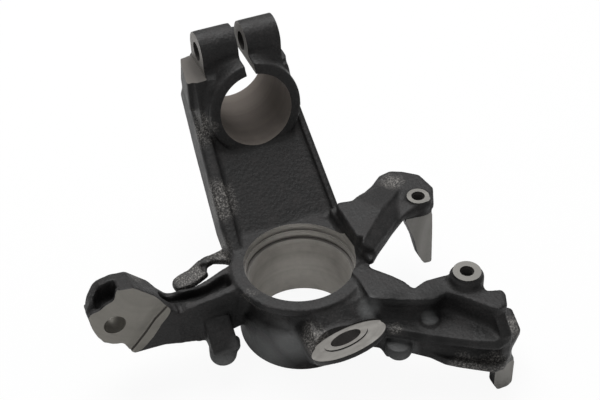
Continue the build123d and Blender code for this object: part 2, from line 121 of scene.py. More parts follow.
def rod(start, end, radius):
    """The distance to a solid round rod with flat ends."""
    axis = (end - start).normalized()
    middle = (start + end) / 2
    dx, dy, dz = grid_x - middle.x, grid_y - middle.y, grid_z - middle.z
    along = dx * axis.x + dy * axis.y + dz * axis.z
    across = np.sqrt(np.maximum(dx * dx + dy * dy + dz * dz - along * along, 0))
    return np.maximum(across - radius, np.abs(along) - (end - start).length / 2)


def straight_rod(point, axis, start, end, radius):
    """The distance to a rod through a point, along x, y or z, from one level to another."""
    near, far = point.copy(), point.copy()
    near[axis] = start
    far[axis] = end
    return rod(near, far, radius)


def crate(low_corner, high_corner):
    """The distance to a solid box between two corners."""
    sides = []
    for grid, near, far in zip((grid_x, grid_y, grid_z), low_corner, high_corner):
        sides.append(np.abs(grid - (near + far) / 2) - (far - near) / 2)
    return np.maximum(np.maximum(sides[0], sides[1]), sides[2])


def slab(outline, low_level, high_level, axis=Z):
    """The distance to a plate with this outline in mm, between two levels in mm along one axis."""
    across = [grid for i, grid in enumerate((grid_x, grid_y, grid_z)) if i != axis]
    u, v = np.broadcast_arrays(across[0] / MM, across[1] / MM)
    nearest = np.full(u.shape, np.inf)
    inside = np.zeros(u.shape, dtype=bool)
    for (u0, v0), (u1, v1) in zip(outline, outline[1:] + outline[:1]):
        run_u, run_v = u1 - u0, v1 - v0
        share = np.clip(((u - u0) * run_u + (v - v0) * run_v) / (run_u ** 2 + run_v ** 2), 0, 1)
        nearest = np.minimum(nearest, np.hypot(u - u0 - share * run_u, v - v0 - share * run_v))
        inside ^= ((v0 > v) != (v1 > v)) & (u < u0 + (v - v0) * run_u / (run_v or 1e-9))
    flat = np.where(inside, -nearest, nearest)
    level = (grid_x, grid_y, grid_z)[axis] / MM
    thick = np.abs(level - (low_level + high_level) / 2) - (high_level - low_level) / 2
    return np.maximum(flat, thick) * MM


def blurred(field, width):
    """The field smoothed by a bell curve of this width."""
    reach = int(math.ceil(2.5 * width / VOXEL))
    weights = np.exp(-0.5 * (np.arange(-reach, reach + 1) * VOXEL / width) ** 2)
    weights /= weights.sum()
    for axis in range(3):
        padding = [(0, 0)] * 3
        padding[axis] = (reach, reach)
        padded = np.pad(field, padding, mode="edge")
        total = np.zeros_like(field)
        for step, weight in enumerate(weights):
            window = [slice(None)] * 3
            window[axis] = slice(step, step + field.shape[axis])
            total += np.float32(weight) * padded[tuple(window)]
        field = total
    return field


def surface_of(field, name):
    """A mesh of the surface where the field is zero."""
    grid = openvdb.FloatGrid(float(BAND * VOXEL))
    grid.copyFromArray(np.clip(field, -BAND * VOXEL, BAND * VOXEL))
    points, triangles, quads = grid.convertToPolygons(isovalue=0.0, adaptivity=0.0)
    mesh = bpy.data.meshes.new(name)
    faces = [tuple(int(i) for i in face) for face in triangles]
    faces += [tuple(int(i) for i in face) for face in quads]
    mesh.from_pydata([tuple(p) for p in points * VOXEL + low], [], faces)
    mesh.validate()
    mesh.update()
    return mesh


# Places and radii of the machined features, from the record.
hub = Vector((0, 0, 0))
strut = mount_point("strut_clamp")
pinch = mount_point("pinch_bolt")
tie_rod = mount_point("tie_rod_hole")
ball = mount_point("ball_joint_hole")
ball_axis = mount_axis("ball_joint_hole")
seat_radius = mount_radius("bearing_bore")
strut_radius = mount_radius("strut_clamp")
pinch_radius = mount_radius("pinch_bolt")
tie_radius = mount_radius("tie_rod_hole")
ball_radius = mount_radius("ball_joint_hole")

# Sizes that the record does not hold: the faces that the cutters leave, in the row's frame.
mouth_z = 35 * MM
strut_low, strut_high = 86 * MM, 149 * MM
clamp_lean = 0.2
ear_left, ear_right, ear_radius = -20 * MM, 34.5 * MM, 13.5 * MM
cheek_top = 113 * MM
slit_half = 3.2 * MM
ledge_top = 115 * MM
eye_face, eye_far, arm_near = -1.3 * MM, 19.5 * MM, -8 * MM
ball_top = 5.17 * MM
ball_along = Vector((0.8439, -0.3337, 0.42))
ball_across = ball_axis.cross(ball_along)
ball_half_length, ball_half_width = 24 * MM, 21.5 * MM
oval_centre = ball + Vector((-0.3, -4, 2.4)) * MM
ball_ring_radius, ball_ring_rise = 14 * MM, 0.9 * MM
boss_top = 45 * MM
ring_sizes = {"caliper_bolt_upper": 7.5 * MM, "caliper_bolt_lower": 8.9 * MM}
finger_face, tab_face = 8 * MM, -100 * MM

# Plugs for the holes: their radii, and the level that each starts from. A plug's other end is the face
# that its hole opens in.
HUB_PLUG, HUB_PLUG_LOW = seat_radius + 5 * MM, -24 * MM
STRUT_PLUG, STRUT_PLUG_LOW = strut_radius + 1 * MM, 80 * MM
HOLE_PLUG = 8 * MM
BALL_PLUG, BALL_PLUG_DEPTH = 14 * MM, 3 * MM
BOSS_PLUG, BOSS_PLUG_LOW = 6 * MM, 20 * MM

blank = signed_distance(knuckle.data)


def weld(metal):
    """Adds metal to the blank, one form at a time, which keeps the memory small."""
    np.minimum(blank, metal, out=blank)


def carve(hollow):
    """Takes a hollow out of the blank."""
    np.maximum(blank, -hollow, out=blank)


# The holes are cast or solid before machining, so they are filled here and cut again below.
weld(straight_rod(hub, Z, HUB_PLUG_LOW, mouth_z, HUB_PLUG))
above_lean = strut_low + clamp_lean * (grid_z - (strut.z - strut_radius)) - grid_y
weld(np.maximum(straight_rod(strut, Y, STRUT_PLUG_LOW, strut_high, STRUT_PLUG), above_lean))
weld(straight_rod(pinch, X, strut.x - slit_half, strut.x + slit_half, ear_radius))
weld(crate((strut.x - slit_half, pinch.y - ear_radius, strut.z),
           (strut.x + slit_half, pinch.y + ear_radius, pinch.z)))
weld(straight_rod(pinch, X, ear_left, ear_right, HOLE_PLUG))
weld(straight_rod(tie_rod, Y, eye_face, eye_far, HOLE_PLUG))
weld(rod(ball - ball_axis * BALL_PLUG_DEPTH, ball + ball_axis * ball_top, BALL_PLUG))

# Cable bracket: its wide end.
weld(slab([(-79.4, 22.5), (-78, 25.5), (-73.7, 27.9), (-66.3, 30), (-58.3, 35.3), (-50, 37.7),
           (-49, 31), (-53.6, 30), (-54.9, 22), (-61.5, 18.6), (-68.3, 15.6), (-77, 15.4),
           (-79.4, 18)], 22.5, 27.5))

# Steering arm: the low wall between the eye's pocket and its face, the metal under its root, and the
# eye's round lower side.
weld(slab([(-137.6, 38), (-137.2, 44.6), (-130.6, 45.6), (-127.1, 48.3), (-121.2, 50.4),
           (-118.9, 57.7), (-117.4, 60), (-117.4, 38)], -1.3, 1.7, Y))
weld(crate((-74.5 * MM, -8 * MM, -1.2 * MM), (-54 * MM, 6 * MM, 15 * MM)))
weld(slab([(-138, 35), (-136.8, 29.5), (-135.1, 23.9), (-132.1, 18.5), (-127.5, 14.6), (-123.8, 13.1),
           (-120, 12.7), (-117, 22), (-128, 36)], -1.3, 19.5, Y))

# The collar over the shield peg.
weld(slab([(-8, 18), (-14, 14), (-25.5, 4), (-25.5, 0.5), (-8, 0.5)], -69.6, -52.4, X))

# The corner behind the lower arm.
weld(slab([(46.3, -36.5), (38.8, -27), (36, -18), (24, -24), (28, -36)], 18, 37.5))

# The full width of the bolt-head ledge.
weld(slab([(-30.5, 127.5), (-28.5, 135.5), (-20, 136), (-18, 106), (-33.6, 105.5)], 92, 115))

# Upper arm: the slope beside its ridge, which also falls towards the boss, and the ridge's crest.
RIDGE_TOP, SIDE_FALL = 50.3, 0.62
SLOPE_BLEND = 0.85
CREST_RADIUS = 1.3 * MM
ridge_fall = np.minimum(0, -0.249 * (grid_x / MM - 60) - 0.14 * (grid_y / MM - 10))
beside_ridge = (grid_x / MM - 36) * 0.6934 - (grid_y / MM + 16) * 0.7206
slope_top = (RIDGE_TOP + ridge_fall - SIDE_FALL * beside_ridge) * MM
ridge_slope = slab([(88, 34), (64, 13), (42, -8), (36, -16), (43, -20), (58, -8), (76, 8), (84, 18),
                    (92, 30)], 35, 52)
weld(np.maximum(ridge_slope, SLOPE_BLEND * (grid_z - slope_top)))
weld(rod(Vector((84 * MM, 30.2 * MM, 41.3 * MM)), Vector((62 * MM, 9 * MM, 49.4 * MM)), CREST_RADIUS))
weld(rod(Vector((62 * MM, 9 * MM, 49.6 * MM)), Vector((38 * MM, -14 * MM, 49.8 * MM)), CREST_RADIUS))

# Ball joint: the oval plate that its face is cut on.
PLATE_DROP, PLATE_HALF = 0.4 * MM, 3.6 * MM
from_face = [(grid_x - oval_centre.x), (grid_y - oval_centre.y), (grid_z - oval_centre.z)]
up_face = sum(d * n for d, n in zip(from_face, ball_axis))
in_oval = np.hypot(sum(d * n for d, n in zip(from_face, ball_along)) / ball_half_length,
                   sum(d * n for d, n in zip(from_face, ball_across)) / ball_half_width)
plate_depth = np.abs(up_face - ball_top + PLATE_DROP) - PLATE_HALF
weld(np.maximum((in_oval - 1) * ball_half_width, plate_depth))
del from_face, up_face, in_oval, plate_depth

# Caliper bosses: solid until they are drilled.
for name in ring_sizes:
    weld(straight_rod(mount_point(name), Z, BOSS_PLUG_LOW, boss_top, BOSS_PLUG))

# Hollows that the pattern leaves: the clip's nest in the bracket, and the waist under the hub's rim,
# which stops at the hub's core, a radius in mm.
HUB_CORE = 38
carve(slab([(-57.6, 31.6), (-53, 31), (-53.8, 23), (-57.4, 24.6)], 24.5, 30))
from_axis = np.hypot(grid_x, grid_y) / MM
carve(np.maximum(slab([(-46, -6), (-14, -6), (-21, -33), (-25, -46), (-46, -46)], 13.5, 27),
                 (HUB_CORE - from_axis) * MM))

# Machining allowance: the cast blank stands proud wherever a cutter will leave a flat face.
ALLOWANCE = 4 * MM
INSIDE = 1.5 * MM


def thicken(low_corner, high_corner, axis, inside):
    """Carries the outline that the metal has at one level through a box."""
    span = []
    for i in range(3):
        first = int(np.searchsorted(ticks[i], low_corner[i]))
        last = int(np.searchsorted(ticks[i], high_corner[i]))
        span.append(slice(first, last))
    level = int(np.searchsorted(ticks[axis], inside))
    source = list(span)
    source[axis] = slice(level, level + 1)
    blank[tuple(span)] = np.minimum(blank[tuple(span)], blank[tuple(source)])


# The eye, the left and the right ear, the ledge, and the two pad fingers.
thicken((-0.150, arm_near, -0.02), (-0.084, eye_face, 0.08), Y, eye_face + INSIDE)
thicken((ear_left - ALLOWANCE, 0.105, 0.108), (ear_left, 0.142, 0.145), X, ear_left + INSIDE)
thicken((ear_right, 0.105, 0.085), (ear_right + ALLOWANCE, 0.142, 0.145), X, ear_right - INSIDE)
thicken((-0.034, 0.098, ledge_top), (ear_left, 0.142, ledge_top + ALLOWANCE), Z, ledge_top - INSIDE)
thicken((0.074, finger_face - ALLOWANCE, -0.016), (0.106, finger_face, 0.034), Y, finger_face + INSIDE)
thicken((0.086, tab_face - ALLOWANCE, -0.030), (0.106, tab_face, -0.004), Y, tab_face + INSIDE)

# A narrow blur rounds the cast edges and a wide one fills the corners. The bosses' rings stay crisp.
RING_DEPTH = 3 * MM
softened = np.minimum(blurred(blank, EDGE_ROUND), blurred(blank, FILLET_BLEND) + np.float32(FILLET_LIFT))
for name, ring_radius in ring_sizes.items():
    ring = straight_rod(mount_point(name), Z, boss_top - RING_DEPTH, boss_top + ALLOWANCE, ring_radius)
    softened = np.minimum(softened, ring)
skin = surface_of(softened, "steering_knuckle_skin")
casting = bpy.data.objects.new("knuckle_casting", skin)
bpy.context.scene.collection.objects.link(casting)

# Large flat stretches need fewer faces than the fillets do.
FACES_KEPT = 0.42
thin = casting.modifiers.new("thin", "DECIMATE")
thin.ratio = FACES_KEPT
skin = bpy.data.meshes.new_from_object(casting.evaluated_get(bpy.context.evaluated_depsgraph_get()))
casting.modifiers.clear()
casting.data = skin


# ---------------------------------------------------------------------------
# Materials of the casting: grey iron with a dark sand-cast skin under a coat of oil,
# with painted light and painted shade in places, and the same iron where a lathe or a cutter has laid it
# bare.
# ---------------------------------------------------------------------------


def linear(hex_colour):
    """An sRGB hex colour as linear red, green, blue and alpha."""
    channels = [int(hex_colour[i:i + 2], 16) / 255 for i in (1, 3, 5)]
    return tuple(c / 12.92 if c <= 0.04045 else ((c + 0.055) / 1.055) ** 2.4 for c in channels) + (1,)


def grey(value):
    return (value, value, value, 1)


def add(material, kind, links=None, **settings):
    """Adds a node to the material, with settings on the node and values or links on its sockets."""
    node = material.node_tree.nodes.new(kind)
    for name, value in settings.items():
        setattr(node, name, value)
    for socket, source in (links or {}).items():
        if isinstance(source, bpy.types.NodeSocket):
            material.node_tree.links.new(source, node.inputs[socket])
        else:
            node.inputs[socket].default_value = source
    return node


def new_material(name):
    material = bpy.data.materials.new(name)
    material.use_nodes = True
    material.node_tree.nodes.clear()
    return material


def ramp(material, source, stops):
    """A colour ramp from this source through (place, colour) stops."""
    node = add(material, "ShaderNodeValToRGB", {"Fac": source})
    while len(node.color_ramp.elements) < len(stops):
        node.color_ramp.elements.new(0.5)
    for element, (place, colour) in zip(node.color_ramp.elements, stops):
        element.position = place
        element.color = colour if isinstance(colour, tuple) else linear(colour)
    return node.outputs["Color"]


# Real moulding sand is about 0.3 mm. The grain and the pits are drawn coarser, so that they show.
SAND_GRAIN = 1.1 * MM
SAND_PIT = 2.4 * MM
SAND_PATCH = 9 * MM

# Where the blasting left sand in the skin, where the skin is painted lighter as a painted reflection of the
# white floor and painted highlights, and the deep corners painted dark as painted shade: centre and reach
# in mm.
# Each place is full within this share of its reach.
FULL_SHARE = 0.35
SANDY_PLACES = [
    ((-34, 58, 52), 22), ((-33, 96, 84), 20), ((-68, 25, 27), 20), ((-42, 36, 27), 20),
    ((-18, -56, 24), 19), ((36, -66, 24), 9), ((70, -96, -2), 17), ((90, -100, -2), 15),
    ((112, -80, -2), 17), ((84, -99, -4), 15), ((84, 40, 45), 14), ((6, 112, 112), 12),
    ((-100, 15, 52), 10), ((-38, -14, 27), 12),
]
# Painted light: the skin painted lighter here, a painted reflection of the white floor on the low parts and
# painted highlights on edges.
PAINTED_LIGHT_PLACES = [
    ((-40, -22, -12), 27), ((-24, -38, 2), 20), ((-61.5, -20, -7), 13), ((37.5, -70, 3), 14),
    ((25, -53, 31), 9), ((58.5, -69, 23.5), 6), ((103, -100, -6), 18), ((-18, -77, 24), 9),
]
# Painted shade: the deep corners, where shade falls, painted near black in the skin's colour.
PAINTED_SHADE_PLACES = [
    ((40, -58, 34), 12), ((66, -67, 33), 16), ((58, -85, 14), 11), ((45, -77, 18), 9),
    ((68, -90, 12), 10), ((80, -94, 9), 9), ((-54, -7, 18), 16), ((-46, -7, 8), 16),
    ((-39, -21, 30), 9), ((-15, -36, 24), 13), ((-73, 7, 23), 14),
]


def nearness(material, place, places):
    """How near the surface is to any of these places, from 0 at its reach to 1 well inside it."""
    share = 0.0
    for centre, reach in places:
        gap = add(material, "ShaderNodeVectorMath", {0: place, 1: tuple(c * MM for c in centre)},
                  operation="DISTANCE").outputs["Value"]
        near = add(material, "ShaderNodeMapRange",
                   {0: gap, 1: reach * MM, 2: FULL_SHARE * reach * MM, 3: 0.0, 4: 1.0}).outputs[0]
        share = add(material, "ShaderNodeMath", {0: near, 1: share}, operation="MAXIMUM").outputs[0]
    return share


# Sand-cast grey iron with a coat of oil: near black, slightly rough, with the print of the sand grains,
# painted lighter where it stands for reflected floor light and highlights, and painted darker for shade in
# the deep corners.
def sand_cast_iron():
    material = new_material("sand_cast_grey_iron")
    place = add(material, "ShaderNodeTexCoord").outputs["Object"]
    grains = add(material, "ShaderNodeTexNoise",
                 {"Vector": place, "Scale": 1 / SAND_GRAIN, "Detail": 3.0, "Roughness": 0.6}).outputs["Fac"]
    patches = add(material, "ShaderNodeTexNoise",
                  {"Vector": place, "Scale": 1 / SAND_PATCH, "Detail": 4.0,
                   "Roughness": 0.62}).outputs["Fac"]
    pits = add(material, "ShaderNodeTexVoronoi",
               {"Vector": place, "Scale": 1 / SAND_PIT}).outputs["Distance"]
    tone = ramp(material, patches, [(0.3, "#232323"), (0.55, "#2a2929"), (0.75, "#343232")])
    speck = ramp(material, grains, [(0.35, grey(0.7)), (0.7, grey(1.3))])
    bare = add(material, "ShaderNodeMix", {0: 1.0, 6: tone, 7: speck}, data_type="RGBA",
               blend_type="MULTIPLY").outputs[2]
    # The sandy share is real sand; the smooth share marks painted light, and the last share marks painted
    # shade.
    sandy, smooth, painted_shade_share = [nearness(material, place, places)
                           for places in (SANDY_PLACES, PAINTED_LIGHT_PLACES, PAINTED_SHADE_PLACES)]
    sand_edge = add(material, "ShaderNodeMath", {0: sandy, 1: patches}, operation="MULTIPLY").outputs[0]
    sand_share = ramp(material, sand_edge, [(0.18, grey(0.0)), (0.5, grey(1.0))])
    grit = ramp(material, grains, [(0.4, "#2b2a29"), (0.52, "#514f4d"), (0.66, "#8c8985")])
    # Painted light: the skin lighter near those places, standing in for reflected floor light and
    # highlights.
    with_painted_light = add(material, "ShaderNodeMix", {0: smooth, 6: bare, 7: linear("#656666")},
                  data_type="RGBA").outputs[2]
    # Painted shade: the skin's colour darkened to near black near the deep corners.
    with_painted_shade = add(material, "ShaderNodeMix", {0: painted_shade_share, 6: with_painted_light, 7: linear("#141414")},
                data_type="RGBA").outputs[2]
    colour = add(material, "ShaderNodeMix", {0: sand_share, 6: with_painted_shade, 7: grit}, data_type="RGBA").outputs[2]
    rough = ramp(material, patches, [(0.3, grey(0.46)), (0.7, grey(0.62))])
    height = add(material, "ShaderNodeMath", {0: grains, 1: pits}, operation="ADD").outputs[0]
    bump = add(material, "ShaderNodeBump", {"Height": height, "Strength": 0.55, "Distance": 0.35 * MM})
    shader = add(material, "ShaderNodeBsdfPrincipled", {
        "Base Color": colour,
        "Roughness": rough,
        "Metallic": 0.25,
        "Specular IOR Level": 0.36,
        "Normal": bump.outputs["Normal"],
    })
    add(material, "ShaderNodeOutputMaterial", {"Surface": shader.outputs[0]})
    return material


# Machined grey iron: bright but not polished, with the even marks of the tool. Real marks are 0.1 to
# 0.3 mm apart, and are drawn coarser so that they show. Stains are left by the cutting oil.
STAIN = 7 * MM


def machined_iron(name, centre, axis, mark, light, dark, roughness):
    """Bare iron with tool marks round an axis, whose mean tone lies between a dark and a light one."""
    material = new_material(name)
    place = add(material, "ShaderNodeTexCoord").outputs["Object"]
    moved = add(material, "ShaderNodeVectorMath", {0: place, 1: tuple(centre)},
                operation="SUBTRACT").outputs[0]
    along = add(material, "ShaderNodeVectorMath", {0: moved, 1: tuple(axis)},
                operation="DOT_PRODUCT").outputs["Value"]
    length = add(material, "ShaderNodeVectorMath", {0: moved}, operation="LENGTH").outputs["Value"]
    along2 = add(material, "ShaderNodeMath", {0: along, 1: along}, operation="MULTIPLY").outputs[0]
    length2 = add(material, "ShaderNodeMath", {0: length, 1: length}, operation="MULTIPLY").outputs[0]
    across2 = add(material, "ShaderNodeMath", {0: length2, 1: along2}, operation="SUBTRACT").outputs[0]
    across = add(material, "ShaderNodeMath", {0: across2, 1: 0.5}, operation="POWER").outputs[0]
    path = add(material, "ShaderNodeMath", {0: along, 1: across}, operation="ADD").outputs[0]
    turns = add(material, "ShaderNodeMath", {0: path, 1: 2 * math.pi / mark},
                operation="MULTIPLY").outputs[0]
    lines = add(material, "ShaderNodeMath", {0: turns}, operation="SINE").outputs[0]
    bands = add(material, "ShaderNodeTexNoise", {"W": path, "Scale": 1 / (5 * mark), "Detail": 3.0},
                noise_dimensions="1D").outputs["Fac"]
    stain = add(material, "ShaderNodeTexNoise",
                {"Vector": place, "Scale": 1 / STAIN, "Detail": 4.0, "Roughness": 0.6}).outputs["Fac"]
    both = add(material, "ShaderNodeMath", {0: bands, 1: stain}, operation="ADD").outputs[0]
    mean = add(material, "ShaderNodeMath", {0: both, 1: 0.5}, operation="MULTIPLY").outputs[0]
    tone = ramp(material, mean, [(0.3, dark), (0.7, light)])
    rough = ramp(material, stain, [(0.3, grey(roughness - 0.06)), (0.7, grey(roughness + 0.08))])
    bump = add(material, "ShaderNodeBump", {"Height": lines, "Strength": 0.25, "Distance": 0.03 * MM})
    shader = add(material, "ShaderNodeBsdfPrincipled", {
        "Base Color": tone,
        "Roughness": rough,
        "Metallic": 0.5,
        "Normal": bump.outputs["Normal"],
    })
    add(material, "ShaderNodeOutputMaterial", {"Surface": shader.outputs[0]})
    return material


skin_material = sand_cast_iron()

# Finely bored bearing seat: the lightest iron.
bored = machined_iron("bored_grey_iron", hub, UP, 1.6 * MM, "#c2bfba", "#a19e99", 0.45)

# Bored clamp for the strut: dull, darker and warmer than the bearing seat.
clamp_bored = machined_iron("bored_iron_of_strut_clamp", strut, mount_axis("strut_clamp"), 1.6 * MM,
                            "#878079", "#726b66", 0.9)

# Milled ears of the clamp.
pinch_faced = machined_iron("milled_iron_of_pinch_ears", Vector((0, 0.3, 0)), X_WAY, 1.7 * MM,
                            "#8f8c88", "#7b7874", 0.6)

# Milled ledge for the bolt's head: darker than the ears.
ledge_faced = machined_iron("milled_iron_of_bolt_ledge", Vector((0.2, 0.12, 0.115)), UP, 1.7 * MM,
                            "#6a6662", "#565350", 0.65)

# Spot-faced rings of the caliper bosses.
ring_faced = machined_iron("spot_faced_iron_of_caliper_bosses", mount_point("caliper_bolt_lower"), UP,
                           1.3 * MM, "#85837f", "#716f6b", 0.55)

# Milled eye of the steering arm, in wide arcs, and the shoulder that the forming cutter leaves, painted
# darker as painted shade on its slope.
eye_faced = machined_iron("milled_iron_of_steering_eye", tie_rod + Vector((0.03, 0, 0.03)),
                          mount_axis("tie_rod_hole"), 1.9 * MM, "#918e87", "#7e7b75", 0.55)
shoulder_in_painted_shade = machined_iron("form_milled_iron_of_eye_shoulder_painted_shade", tie_rod, mount_axis("tie_rod_hole"),
                                1.4 * MM, "#56524e", "#45423f", 0.65)

# Turned steps of the bearing bore: duller than the seat, so that they read as thin rings.
step_turned = machined_iron("turned_iron_of_hub_steps", hub, UP, 1.3 * MM, "#7d7a76", "#6a6764", 0.62)

# Milled face of the ball joint: nearly as light as the bearing seat.
ball_faced = machined_iron("milled_iron_of_ball_joint", ball, ball_axis, 1.4 * MM,
                           "#bdbab5", "#a19e99", 0.42)

# Milled guide faces of the pad fingers.
pad_faced = machined_iron("milled_iron_of_pad_fingers", Vector((0.2, 0, 0)), Y_WAY, 1.7 * MM,
                          "#93918d", "#7c7a76", 0.5)

# Drilled and tapped holes: dark with oil.
drilled = machined_iron("drilled_iron", hub, UP, 1.25 * MM, "#484543", "#363432", 0.6)

materials = [
    skin_material, bored, clamp_bored, pinch_faced, ledge_faced, ring_faced, eye_faced,
    shoulder_in_painted_shade, step_turned, ball_faced, pad_faced, drilled,
]
for material in materials:
    skin.materials.append(material)


# ---------------------------------------------------------------------------
# Machining. Each cutter takes away what the real tool does, so its cut has the
# crisp edge of a machined face against the rounded cast skin.
# ---------------------------------------------------------------------------


def cut(tool, material, wall=None, axis=UP):
    """Takes a closed tool mesh away. Its cuts get the material, and cuts along the axis get the wall's."""
    for slot in materials:
        tool.materials.append(slot)
    for face in tool.polygons:
        side = wall is not None and abs(face.normal.dot(axis)) < 0.5
        face.material_index = materials.index(wall if side else material)
    cutter = bpy.data.objects.new("cutter", tool)
    bpy.context.scene.collection.objects.link(cutter)
    modifier = casting.modifiers.new("cut", "BOOLEAN")
    modifier.operation = "DIFFERENCE"
    modifier.solver = "MANIFOLD"
    modifier.object = cutter
    depsgraph = bpy.context.evaluated_depsgraph_get()
    result = bpy.data.meshes.new_from_object(casting.evaluated_get(depsgraph))
    casting.modifiers.clear()
    casting.data = result
    bpy.data.objects.remove(cutter)


def finished(tool):
    """The mesh of a tool that is all drawn."""
    mesh = bpy.data.meshes.new("cutter")
    tool.to_mesh(mesh)
    tool.free()
    return mesh


def turned(profile, centre, axis, steps=96):
    """A closed solid turned round an axis from (radius, distance along the axis) points."""
    tool = bmesh.new()
    turn = axis.to_track_quat("Z", "Y").to_matrix().to_4x4()
    angles = [2 * math.pi * i / steps for i in range(steps)]
    rings = []
    for radius, along in profile:
        if radius == 0:
            rings.append([tool.verts.new((0, 0, along))])
            continue
        rings.append([tool.verts.new((radius * math.cos(a), radius * math.sin(a), along)) for a in angles])
    for first, second in zip(rings, rings[1:]):
        for i in range(steps):
            j = (i + 1) % steps
            corners = [first[i % len(first)], first[j % len(first)],
                       second[j % len(second)], second[i % len(second)]]
            tool.faces.new(list(dict.fromkeys(corners)))
    bmesh.ops.recalc_face_normals(tool, faces=tool.faces)
    bmesh.ops.transform(tool, matrix=Matrix.Translation(centre) @ turn, verts=tool.verts)
    return finished(tool)


def drill(radius, start, end):
    """The profile of a plain round cutter, between two distances along its axis."""
    return [(0, start), (radius, start), (radius, end), (0, end)]


def block(low_corner, high_corner):
    """A closed box between two corners."""
    tool = bmesh.new()
    bmesh.ops.create_cube(tool, size=1)
    size = Vector(high_corner) - Vector(low_corner)
    middle = (Vector(high_corner) + Vector(low_corner)) / 2
    place = Matrix.Translation(middle) @ Matrix.Diagonal((*size, 1))
    bmesh.ops.transform(tool, matrix=place, verts=tool.verts)
    return finished(tool)


def join_rings(tool, rings):
    """Draws the faces between each ring of corners and the next."""
    count = len(rings[0])
    for first, second in zip(rings, rings[1:]):
        for i in range(count):
            j = (i + 1) % count
            tool.faces.new((first[i], first[j], second[j], second[i]))


def oval_ring(half_length, half_width, centre, inner_radius, inner_centre, along, axis, height, steps=96):
    """A closed oval plate with a round hole, its long side along one direction."""
    tool = bmesh.new()
    across = axis.cross(along)
    angles = [2 * math.pi * i / steps for i in range(steps)]
    outer, inner = (half_length, half_width, centre), (inner_radius, inner_radius, inner_centre)
    rings = []
    for (length, width, middle), level in ((outer, 0), (outer, height), (inner, height), (inner, 0)):
        rings.append([tool.verts.new(middle + axis * level + along * length * math.cos(a)
                                     + across * width * math.sin(a)) for a in angles])
    join_rings(tool, rings + rings[:1])
    bmesh.ops.recalc_face_normals(tool, faces=tool.faces)
    return finished(tool)


# How far a facing cutter reaches past the casting.
OVERRUN = 20 * MM

# Hub: mouth, step, snap-ring groove, bearing seat and lead-in.
seat_top = mounts["bearing_bore"]["dims"]["length_mm"] / 2 * MM
mouth_radius, step_radius, groove_radius, run_out_radius = 36 * MM, 34.8 * MM, 35.8 * MM, 33.2 * MM
step_z, groove_top, groove_low = mouth_z - 5 * MM, mouth_z - 9.2 * MM, mouth_z - 11.4 * MM
lead_in = 3 * MM
hub_profile = [
    (0, mouth_z + 4 * MM), (mouth_radius, mouth_z + 4 * MM), (mouth_radius, step_z), (step_radius, step_z),
    (step_radius, groove_top), (groove_radius, groove_top), (groove_radius, groove_low),
    (run_out_radius, groove_low), (seat_radius, seat_top), (seat_radius, -seat_top),
    (seat_radius + lead_in, -seat_top - lead_in), (seat_radius + lead_in, -seat_top - 12 * MM),
    (0, -seat_top - 12 * MM),
]
cut(turned(hub_profile, hub, UP, 160), step_turned, bored)

# Strut clamp: bore, slit, the pinch-bolt hole, the ears' outer faces and the ledge for the bolt's head.
strut_end = strut_high - strut.y
strut_profile = [(0, -0.06), (strut_radius, -0.06), (strut_radius, strut_end - 1.2 * MM),
                 (strut_radius + 3 * MM, strut_end + 1.8 * MM), (0, strut_end + 1.8 * MM)]
cut(turned(strut_profile, strut, Y_WAY, 128), clamp_bored)
cut(block((strut.x - slit_half, 0.06, strut.z + 0.01), (strut.x + slit_half, 0.2, 0.16)), pinch_faced)
cut(turned(drill(pinch_radius, -0.05, 0.05), pinch, X_WAY, 64), drilled)
left_ear_cutter = block((ear_left - OVERRUN, 0.09, ledge_top), (ear_left, 0.16, 0.16))
cut(left_ear_cutter, ledge_faced, pinch_faced, UP)
right_ear_cutter = block((ear_right, 0.09, cheek_top), (ear_right + OVERRUN, 0.16, 0.16))
cut(right_ear_cutter, pinch_faced, skin_material, X_WAY)

# Steering arm: the eye's face with its sloping, grooved shoulder, and the stud's hole. The line is the
# shoulder's foot, in mm of x and z, and the spread is how many times wider the shoulder is at each point.
SHOULDER_SLOPE = 0.445
CORNER_RADIUS = 2.6
eye_line = [(-79.8, 48.6), (-91.9, 39.0), (-101.6, 31.3), (-108.8, 22.9), (-116.0, 14.5),
            (-124.0, 5.2), (-132.0, -4.2)]
shoulder_spread = [1.5, 1.6, 1.9, 2.1, 2.0, 1.5, 1.0]


def beside(points, distance):
    """The same broken line, moved to its right by a distance, more in its middle than at its end."""
    moved = []
    for i, (x, z) in enumerate(points):
        before = points[max(i - 1, 0)]
        after = points[min(i + 1, len(points) - 1)]
        run = Vector((after[0] - before[0], after[1] - before[1])).normalized()
        reach = distance * (shoulder_spread[i] if distance > 0 else 1)
        moved.append((x - run.y * reach, z + run.x * reach))
    return moved


def milled(line, face_y, near_y, slope):
    """A closed tool that leaves a flat face at face_y, with a sloping shoulder along the line."""
    tool = bmesh.new()
    rings = []
    deep = (face_y - near_y) / MM
    root = CORNER_RADIUS * math.tan(math.radians(33))
    levels = [(CORNER_RADIUS * math.sin(t) - root, CORNER_RADIUS * (1 - math.cos(t)))
              for t in (0.0, 0.25, 0.5, 0.75, 1.0)]
    levels += [(slope * 2.9, 2.9), (slope * 3.2 + 0.5, 3.0), (slope * 3.5 + 0.5, 3.5),
               (slope * 4.4 + 0.2, 4.4), (slope * 5.0 + 0.5, 5.0), (slope * deep + 0.5, deep)]
    for side, depth in levels:
        outline = beside(line, side) + [(-170, line[-1][1]), (-170, 120), (line[0][0], 120)]
        rings.append([tool.verts.new((x * MM, face_y - depth * MM, z * MM)) for x, z in outline])
    tool.faces.new(rings[0])
    tool.faces.new(rings[-1])
    join_rings(tool, rings)
    bmesh.ops.recalc_face_normals(tool, faces=tool.faces)
    return finished(tool)


cut(milled(eye_line, eye_face, arm_near - 8 * MM, SHOULDER_SLOPE), eye_faced, shoulder_in_painted_shade, Y_WAY)
cut(turned(drill(tie_radius, -0.04, 0.04), tie_rod, Y_WAY, 64), eye_faced)

